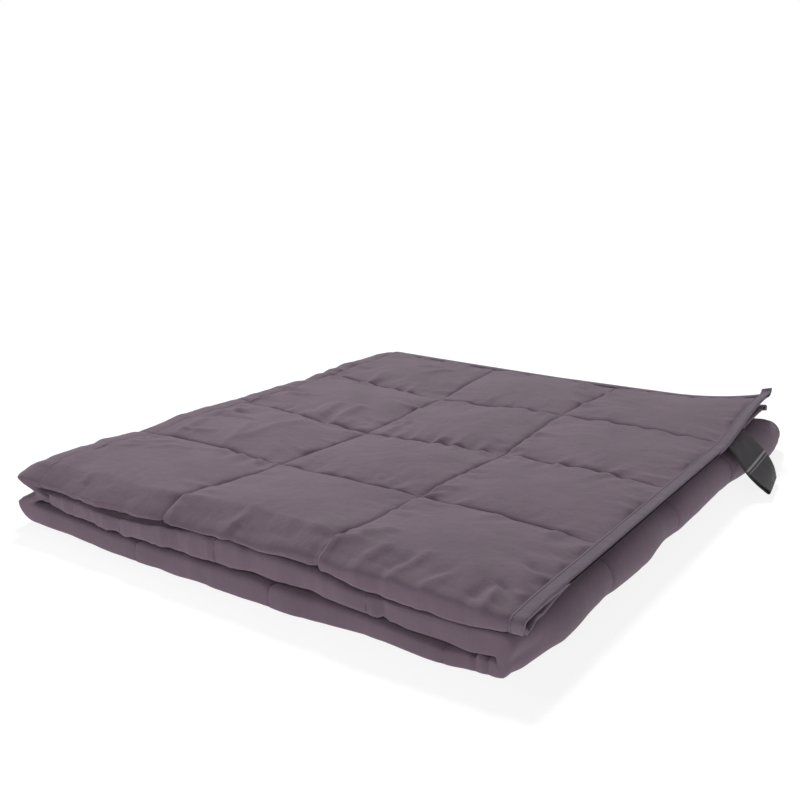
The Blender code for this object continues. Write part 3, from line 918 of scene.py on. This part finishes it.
# Noise cells to a metre of cloth: clumps of nap 2.4 mm across, soft dents 15 mm across and
# changes of tone 70 mm across
NAP_SCALE = 420.0
DENT_SCALE = 65.0
TONE_SCALE = 14.0
DENT_DEPTH = 0.0030
THREAD_DEPTH = 0.0003
STRIPE_BLUR = 0.0002


def woven(name, pale, deep, spacing, relief, roughness, sheen, wear, stripes=()):
    """A woven cloth: threads both ways, a soft nap and slow changes of tone.

    Spacing is that of the threads in metres, relief how far they stand out, and wear how
    much the nap mottles the tone. A stripe has its place along the cloth, half its width
    and its colour.
    """
    material = bpy.data.materials.new(name)
    material.use_nodes = True
    tree = material.node_tree
    shader = tree.nodes["Principled BSDF"]
    place = add_node(tree, "TexCoord").outputs["UV"]
    thread = {"Vector": place, "Scale": wave_scale(spacing), "Distortion": 0.6,
              "Detail": 1.0, "Detail Scale": 2.0}
    warp = add_node(tree, "TexWave", thread, bands_direction="X")
    weft = add_node(tree, "TexWave", thread, bands_direction="Y")
    weave = add_node(tree, "Math", {0: warp.outputs["Fac"], 1: weft.outputs["Fac"]},
                     operation="MAXIMUM")
    nap = add_node(tree, "TexNoise", {"Vector": place, "Scale": NAP_SCALE, "Detail": 3.0,
                                      "Roughness": 0.6})
    slow = add_node(tree, "TexNoise", {"Vector": place, "Scale": TONE_SCALE, "Detail": 4.0,
                                       "Roughness": 0.55})
    fibres = add_node(tree, "Math", {0: nap.outputs["Fac"], 1: wear, 2: 0.5 - wear / 2},
                      operation="MULTIPLY_ADD")
    tone = add_node(tree, "Math", {0: slow.outputs["Fac"], 1: fibres.outputs[0]}, operation="ADD")
    ramp = add_node(tree, "MapRange", {"Value": tone.outputs[0], "From Min": 0.70,
                                       "From Max": 1.30})
    colour = add_node(tree, "Mix", {"Factor": ramp.outputs[0], 6: linear(deep), 7: linear(pale)},
                      data_type="RGBA")
    apart = add_node(tree, "SeparateXYZ", {0: place})
    for along, half, tint in stripes:
        off = add_node(tree, "Math", {0: apart.outputs["Y"], 1: along}, operation="SUBTRACT")
        off = add_node(tree, "Math", {0: off.outputs[0]}, operation="ABSOLUTE")
        line = add_node(tree, "MapRange", {"Value": off.outputs[0], "From Max": half,
                                           "From Min": half + STRIPE_BLUR})
        colour = add_node(tree, "Mix", {"Factor": line.outputs[0], 6: colour.outputs[2],
                                        7: linear(tint)}, data_type="RGBA")
    tree.links.new(colour.outputs[2], shader.inputs["Base Color"])
    rough = add_node(tree, "MapRange", {"Value": nap.outputs["Fac"], "To Min": roughness - 0.06,
                                        "To Max": roughness + 0.04})
    tree.links.new(rough.outputs[0], shader.inputs["Roughness"])
    dents = add_node(tree, "TexNoise", {"Vector": place, "Scale": DENT_SCALE, "Detail": 5.0,
                                        "Roughness": 0.60})
    soft = add_node(tree, "Bump", {"Height": dents.outputs["Fac"], "Strength": 0.60,
                                   "Distance": DENT_DEPTH})
    threads = add_node(tree, "Bump", {"Height": weave.outputs[0], "Strength": relief,
                                      "Distance": THREAD_DEPTH, "Normal": soft.outputs[0]})
    tree.links.new(threads.outputs[0], shader.inputs["Normal"])
    shader.inputs["Sheen Weight"].default_value = sheen
    shader.inputs["Sheen Roughness"].default_value = 0.55
    shader.inputs["Specular IOR Level"].default_value = 0.25
    shader.inputs["Diffuse Roughness"].default_value = 0.8
    return material


# Brushed polyester microfibre: short nap, matt with a faint bloom at the edges of folds.
# Its threads are about 0.3 mm apart, drawn at 0.9 mm so that the weave shows.
MICROFIBRE = woven("brushed_microfibre", "84717f", "766472", 0.0009, 0.30, 0.90, 0.07, 0.25)
# Bias tape of the same fibre: a little greyer, and smoother where the fold has pressed it.
# Its threads too are drawn wider than they are, at 0.8 mm.
TAPE = woven("microfibre_bias_tape", "7e707e", "716371", 0.0008, 0.40, 0.84, 0.06, 0.30)
# Spun polyester sewing thread: matt and twisted, a shade darker than the cloth. Its twist
# repeats after 0.6 mm.
THREAD_COLOUR = woven("spun_polyester_thread", "6b5c66", "5c4e58", 0.0006, 0.30, 0.75, 0.05, 0.30)
# Damask woven label ribbon: dense black polyester satin with a dull shine, its threads drawn
# at 0.6 mm. Two pale lines are woven across it.
RIBBON = woven("woven_label_ribbon", "4f4c4f", "413e41", 0.0006, 0.50, 0.50, 0.05, 0.35,
               stripes=((0.046, 0.0011, "a39fa2"), (0.0502, 0.0005, "8d898c")))


# -------------------------------------------------------------------- binding and label

# The tape: its folded thickness, the room inside it and the puckers along its sewn edge
BINDING_CLOTH = 0.0014
BINDING_INSIDE = EDGE_HALF + GAP
BINDING_OUTSIDE = BINDING_INSIDE + BINDING_CLOTH
BINDING_HOLLOW = 0.0014
BINDING_PUCKER = 0.00055
BINDING_PUCKER_PITCH = 0.0075

# Steps along the tape: where it shows, elsewhere, over each fold, and round the front roll
VISIBLE_STEP = 0.0040
BACK_STEP = 0.0090
FOLD_STEPS = 36
ROLL_STEPS = 23
ROLL_STEPS_S = 0.015
MITRE_INSET = 0.6

# The label: width, place along the end, ply, how far its loop stands open, how much is sewn in
LABEL_WIDTH = 0.062
LABEL_Y = 0.392
LABEL_PLY = 0.0008
LABEL_LOOP = 0.0016
LABEL_ROOT = 0.010
LABEL_RISE = 0.0004
LABEL_SHUT = 0.3
LABEL_STEPS = 40
LABEL_COLUMNS = 24
LABEL_TURN_STEPS = 10
LABEL_SMOOTHING = 12
# X and Z from the blanket's end, along the label's front edge and then its back edge
LABEL_ROUTE = (
    (0.0000, 0.0000, 0.0000, 0.0000),
    (0.0095, -0.0100, 0.0110, -0.0090),
    (0.0175, -0.0218, 0.0226, -0.0185),
    (0.0275, -0.0318, 0.0328, -0.0295),
    (0.0392, -0.0402, 0.0402, -0.0420),
    (0.0508, -0.0470, 0.0436, -0.0550),
)


def binding_profile():
    """Section of the folded tape: distance in from the edge, height, share of the pucker."""
    w, low, high = BINDING_WIDTH, BINDING_INSIDE, BINDING_OUTSIDE
    top = [
        (w, low, 0),
        (w + 0.0003, (low + high) / 2, 0),
        (w - 0.0002, high, 0.3),
        (w - 0.0020, high - 0.0002, 0.1),
        (w - 0.0050, high + 0.0001, 1),
        (w - 0.0085, high, 1),
        (0.0032, high, 0.6),
        (0.0012, high - 0.0003, 0.2),
        (0.0, high / 2, 0),
    ]
    under = [(a, -m, -p) for a, m, p in reversed(top)]
    hollow = [(BINDING_HOLLOW, -low, 0), (BINDING_HOLLOW, low, 0)]
    return top + under + hollow


def spaced(low, high, step):
    """Even places from low to high, without the ends, at most a step apart."""
    count = int(math.ceil((high - low) / step))
    return np.linspace(low, high, count + 1)[1:-1]


def side_run(inset):
    """Places along a side edge, closest together where the pile turns over."""
    folds = (LEFT_T, RIGHT_T)
    even = spaced(inset, LENGTH - inset, BACK_STEP)
    even = [v for v in even if not any(low <= v <= high for low, high in folds)]
    close = [v for low, high in folds for v in np.linspace(low, high, FOLD_STEPS)]
    return np.array(sorted(even + close))


def rim_places():
    """Places round the cut edge, each with its way inward: s, t, inward s, inward t."""
    low, high = -WIDTH / 2, WIDTH / 2
    inset = BINDING_WIDTH * MITRE_INSET
    t_run = side_run(inset)
    far_run = spaced(low + inset, high - inset, BACK_STEP)
    near_run = spaced(low + inset, high - inset, VISIBLE_STEP)
    near_run = [s for s in near_run if abs(s) > ROLL_STEPS_S + 0.001]
    near_run += list(np.linspace(-ROLL_STEPS_S, ROLL_STEPS_S, ROLL_STEPS))
    places = [(low, 0.0, 1, 1)]
    places += [(low, t, 1, 0) for t in t_run]
    places.append((low, LENGTH, 1, -1))
    places += [(s, LENGTH, 0, -1) for s in far_run]
    places.append((high, LENGTH, -1, -1))
    places += [(high, t, -1, 0) for t in reversed(t_run)]
    places.append((high, 0.0, -1, 1))
    places += [(s, 0.0, 0, 1) for s in sorted(near_run, reverse=True)]
    return places


def run_along(points):
    """Distance of each point from the first, along the line that they make."""
    return np.concatenate([[0], np.cumsum(np.linalg.norm(np.diff(points, axis=0), axis=1))])


def make_binding(material):
    """One strip folded over the cut edge, all the way round, mitred at the corners."""
    places, profile = np.array(rim_places()), np.array(binding_profile())
    edge_s, edge_t, inward_s, inward_t = (column[:, None] for column in places.T)
    inset, height, puckered = (column[None, :] for column in profile.T)
    run = run_along(places[:, :2])
    pucker = noise(41, run[:, None] / BINDING_PUCKER_PITCH, 40 * inset / BINDING_WIDTH)
    m = height + puckered * BINDING_PUCKER * pucker
    points = fold(edge_s + inward_s * inset, edge_t + inward_t * inset, m).reshape(-1, 3)
    around = run_along(profile[:, :2])
    flat = np.stack(np.meshgrid(run, around, indexing="ij"), axis=-1).reshape(-1, 2)
    count, size = len(places), len(profile)
    faces = []
    for k in range(count):
        here, there = k * size, (k + 1) % count * size
        for p in range(size):
            q = (p + 1) % size
            faces.append((here + p, there + p, there + q, here + q))
    return cloth_object("edge_tape", points, faces, flat, material)


# ------------------------------------------------------------- thread and tape ends

# Stitches: thread thickness, length, pitch, share sunk into the cloth, share that lies flat,
# and how far the ends narrow and dip, as a share of the thread
THREAD = 0.00045
STITCH = 0.0027
STITCH_PITCH = 0.0034
STITCH_SINK = 0.10
STITCH_FLAT = 0.6
STITCH_TAPER = 0.6
# How far the tape's seam lies in from its inner edge, and S of the seams on the front rolls
TAPE_STITCH_IN = 0.0020
ROLL_STITCHES = (-0.010, 0.012)

# The end tape stands past the corner in steps: length and rise of each
TAPE_END_START = 0.004
TAPE_END_ROUND = 0.0012
TAPE_END_STEPS = ((0.0030, 0.0003), (0.0030, 0.0010), (0.0025, 0.0018), (0.0020, 0.0022))


def pick_faces(obj, side):
    """In edit mode, leaves selected only the faces that look along a direction."""
    bpy.ops.mesh.select_all(action="DESELECT")
    bpy.ops.object.mode_set(mode="OBJECT")
    for face in obj.data.polygons:
        face.select = sum(a * b for a, b in zip(face.normal, side)) > 0.9
    bpy.ops.object.mode_set(mode="EDIT")


def pattern_object(scale):
    """Applies a new primitive's turn and scale and opens it for editing."""
    obj = bpy.context.object
    obj.scale = scale
    bpy.ops.object.transform_apply(location=True, rotation=True, scale=True)
    bpy.ops.object.mode_set(mode="EDIT")
    bpy.ops.mesh.select_mode(type="FACE")
    return obj


def taken(obj):
    """Corners and faces of a finished pattern, whose object is then removed."""
    bpy.ops.object.mode_set(mode="OBJECT")
    mesh = obj.data
    corners = np.array([v.co for v in mesh.vertices])
    faces = [list(face.vertices) for face in mesh.polygons]
    bpy.data.objects.remove(obj)
    bpy.data.meshes.remove(mesh)
    return corners, faces


def stitch_pattern():
    """One stitch along X: a short round thread whose ends dip into the cloth."""
    bpy.ops.mesh.primitive_cylinder_add(vertices=6, radius=THREAD / 2, depth=STITCH * STITCH_FLAT,
                                        rotation=(0, math.pi / 2, 0))
    obj = pattern_object((1, 1, 1))
    end = STITCH * (1 - STITCH_FLAT) / 2
    for side in (-1, 1):
        pick_faces(obj, (side, 0, 0))
        bpy.ops.mesh.extrude_region_move(
            TRANSFORM_OT_translate={"value": (side * end, 0, -THREAD * STITCH_TAPER)})
        bpy.ops.transform.resize(value=(1, STITCH_TAPER, STITCH_TAPER))
    return taken(obj)


def tape_end_pattern():
    """A tape's flat end along X, curled a little and rounded at its edges."""
    bpy.ops.mesh.primitive_cube_add(size=1, location=(-TAPE_END_START / 2, 0, 0))
    obj = pattern_object((TAPE_END_START, BINDING_WIDTH + 0.0008, 2 * BINDING_OUTSIDE))
    for length, lift in TAPE_END_STEPS:
        pick_faces(obj, (1, 0, 0))
        bpy.ops.mesh.extrude_region_move(TRANSFORM_OT_translate={"value": (length, 0, lift)})
    bpy.ops.object.mode_set(mode="OBJECT")
    rounding = obj.modifiers.new("rounding", "BEVEL")
    rounding.width, rounding.segments = TAPE_END_ROUND, 3
    rounding.angle_limit = math.radians(50)
    bpy.ops.object.modifier_apply(modifier="rounding")
    bpy.ops.object.mode_set(mode="EDIT")
    return taken(obj)


def sewn_copies(name, pattern, places, material):
    """Copies a pattern to flat places (s, t, along s, along t, height) and folds each."""
    corners, faces = pattern
    s, t, along_s, along_t, m = (column[:, None] for column in np.array(places, dtype=float).T)
    x, y, z = (column[None, :] for column in corners.T)
    flat_s = s + x * along_s - y * along_t
    flat_t = t + x * along_t + y * along_s
    points = fold(flat_s, flat_t, m + z).reshape(-1, 3)
    size = len(corners)
    rings = [[k * size + v for v in face] for k in range(len(places)) for face in faces]
    flat = np.stack([flat_s, flat_t], axis=-1).reshape(-1, 2)
    return cloth_object(name, points, rings, flat, material)


def stitch_places():
    """Every stitch that shows, on the quilting seams and along the tape's inner edge."""
    edge = WIDTH / 2 - BINDING_WIDTH
    inner, taped = BINDING_WIDTH - TAPE_STITCH_IN, WIDTH / 2 - BINDING_WIDTH + TAPE_STITCH_IN
    right = RIGHT_T[0] + STITCH_PITCH, RIGHT_T[1]
    lines = [(row * PITCH_S, BINDING_WIDTH, row * PITCH_S, LEFT_T[1]) for row in (1, 2, 3)]
    lines += [(row * PITCH_S, right[0], row * PITCH_S, right[1]) for row in (1, 2, 3)]
    for seam in range(1, COLUMNS):
        t = BINDING_WIDTH + seam * PITCH_T
        lines.append((ROLL_STITCHES[0], t, edge if seam <= 3 else ROLL_STITCHES[1], t))
    tape_lines = [(-edge, inner, edge, inner), (taped, inner, taped, LEFT_T[1])]
    places = []
    for on_tape, group in ((False, lines), (True, tape_lines)):
        for s0, t0, s1, t1 in group:
            length = math.hypot(s1 - s0, t1 - t0)
            along_s, along_t = (s1 - s0) / length, (t1 - t0) / length
            run = np.arange(STITCH_PITCH / 2, length, STITCH_PITCH)
            s, t = s0 + run * along_s, t0 + run * along_t
            m = np.full_like(run, BINDING_OUTSIDE) if on_tape else face_height(s, t)
            m = m + THREAD * (0.5 - STITCH_SINK)
            places += [(a, b, along_s, along_t, c) for a, b, c in zip(s, t, m)]
    return places


def tape_end_places():
    """The far corners of both layers, where the end tape is longer than the cloth."""
    t = BINDING_WIDTH / 2 + 0.0002
    return [(WIDTH / 2, t, 1, 0, 0), (-WIDTH / 2, t, -1, 0, 0)]


def unit(vectors):
    """The same directions, each one long."""
    return vectors / np.linalg.norm(vectors, axis=1)[:, None]


def label_line(share):
    """Middle line of the label, a share of the way from its front edge to its back edge."""
    route = np.array(LABEL_ROUTE)
    steps = np.linspace(0, len(route) - 1, LABEL_STEPS + 1)
    edges = [np.interp(steps, range(len(route)), column) for column in route.T]
    line = np.stack([(1 - share) * edges[k] + share * edges[k + 2] for k in (0, 1)], axis=1)
    for _ in range(LABEL_SMOOTHING):
        line[1:-1] = (line[:-2] + 2 * line[1:-1] + line[2:]) / 4
    return np.vstack([[-LABEL_ROOT, 0.0], line])


def loop_section(line):
    """Outer and inner points of a tape that follows a line, turns and comes back."""
    along = unit(np.gradient(line, axis=0))
    side = np.stack([-along[:, 1], along[:, 0]], axis=1)
    opening = smooth(np.linspace(-LABEL_SHUT, 1, len(line)))
    spread = (LABEL_PLY + GAP) / 2 + LABEL_LOOP * opening
    upper = line + side * spread[:, None]
    lower = line - side * spread[:, None]
    angles = np.linspace(0, math.pi, LABEL_TURN_STEPS + 1)[1:-1, None]
    turn = line[-1] + spread[-1] * (np.cos(angles) * side[-1] + np.sin(angles) * along[-1])
    tape = np.vstack([upper, turn, lower[::-1]])
    run = unit(np.gradient(tape, axis=0))
    normal = np.stack([-run[:, 1], run[:, 0]], axis=1)
    return tape + normal * LABEL_PLY / 2, tape - normal * LABEL_PLY / 2


def make_label(material):
    """A ribbon folded to a loop: out from under the tape, over the fold and back."""
    shares = np.linspace(0, 1, LABEL_COLUMNS + 1)
    outer, inner = [], []
    for share in shares:
        y = LABEL_Y + (share - 0.5) * LABEL_WIDTH
        for side, section in zip((outer, inner), loop_section(label_line(share))):
            lifted = corner_share(TOP_END_X + np.minimum(section[:, 0], 0), y)
            x = TOP_END_X + section[:, 0] - CORNER_INSET * lifted
            z = TOP_Z + LABEL_RISE + section[:, 1] + CORNER_LIFT * lifted
            side.append(np.stack([x - CENTRE_X, np.full_like(x, y - CENTRE_Y), z], axis=1))
    points = np.stack(outer + inner[::-1], axis=1)
    length, size = points.shape[:2]
    across = np.concatenate([shares, shares[::-1]]) * LABEL_WIDTH
    flat = np.stack(np.meshgrid(across, run_along(points[:, 0])), axis=-1).reshape(-1, 2)
    faces = []
    for k in range(0, (length - 1) * size, size):
        for p in range(size):
            q = (p + 1) % size
            faces.append((k + size + p, k + size + q, k + q, k + p))
    for first, turn in ((0, 1), ((length - 1) * size, -1)):
        for p in range(LABEL_COLUMNS):
            ring = (first + p, first + size - 1 - p, first + size - 2 - p, first + p + 1)
            faces.append(ring[::-turn])
    return cloth_object("loop_label", points.reshape(-1, 3), faces, flat, material)


# --------------------------------------------------------------------------------- scene

panel = make_panel(MICROFIBRE)
binding = make_binding(TAPE)
thread = sewn_copies("quilting_thread", stitch_pattern(), stitch_places(), THREAD_COLOUR)
tape_ends = sewn_copies("tape_ends", tape_end_pattern(), tape_end_places(), TAPE)
label = make_label(RIBBON)

for piece, node, slot in (
    (panel, "quilted_panel", "quilted_panel"),
    (binding, "edge_binding", "edge_binding"),
    (label, "side_label", "side_label"),
):
    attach(piece, "root")
    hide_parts(node)
for piece in (thread, tape_ends):
    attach(piece, "root")

# Floor and backdrop: plain pale paper
bpy.ops.mesh.primitive_plane_add(size=14, location=(0, 0, 0))
floor = bpy.context.object
floor.name = "floor"
bpy.ops.object.transform_apply(location=True, rotation=True, scale=True)
paper = bpy.data.materials.new("white_paper")
paper.use_nodes = True
paper_shader = paper.node_tree.nodes["Principled BSDF"]
paper_shader.inputs["Base Color"].default_value = linear("8c8c8c")
paper_shader.inputs["Roughness"].default_value = 0.9
paper_shader.inputs["Specular IOR Level"].default_value = 0.0
paper_shader.inputs["Emission Color"].default_value = (1, 1, 1, 1)
paper_shader.inputs["Emission Strength"].default_value = 0.84
floor.data.materials.append(paper)

# Studio light: a broad key from the back left, a weak fill from the front, a dim surround
# that reads as white paper behind the object
SURROUND = 0.155
world = bpy.data.worlds.new("studio")
world.use_nodes = True
sky = world.node_tree
seen = add_node(sky, "LightPath").outputs["Is Camera Ray"]
strength = add_node(sky, "MapRange", {"Value": seen, "To Min": SURROUND, "To Max": 1.0})
sky.nodes["Background"].inputs["Color"].default_value = (1, 1, 1, 1)
sky.links.new(strength.outputs[0], sky.nodes["Background"].inputs["Strength"])
bpy.context.scene.world = world


def studio_sun(name, strength, softness, source):
    """A soft far light that shines from a direction."""
    bpy.ops.object.light_add(type="SUN", location=source)
    lamp = bpy.context.object
    lamp.name = name
    lamp.data.energy = strength
    lamp.data.angle = math.radians(softness)
    x, y, z = source
    lamp.rotation_euler = (math.atan2(math.hypot(x, y), z), 0, math.atan2(y, x) + math.pi / 2)


studio_sun("key", 3.1, 12, (-0.52, 0.74, 0.80))
studio_sun("fill", 0.8, 60, (0.15, -1.0, 0.5))

# A small softbox over the near left, where the cloth is palest
bpy.ops.object.light_add(type="AREA", location=(-0.26, -0.20, 0.65))
softbox = bpy.context.object
softbox.name = "softbox"
softbox.data.size = 0.4
softbox.data.energy = 0.9

# Camera, at the photograph's angle
bpy.ops.object.camera_add(location=(0.6456, -1.0767, 0.4692),
                          rotation=(math.radians(74.0145), 0, math.radians(33.4034)))
camera = bpy.context.object
camera.name = "photo_camera"
camera.data.sensor_width = 36
camera.data.lens = 48.68
camera.data.clip_start = 0.02
bpy.context.scene.camera = camera
bpy.context.scene.view_settings.view_transform = "Standard"
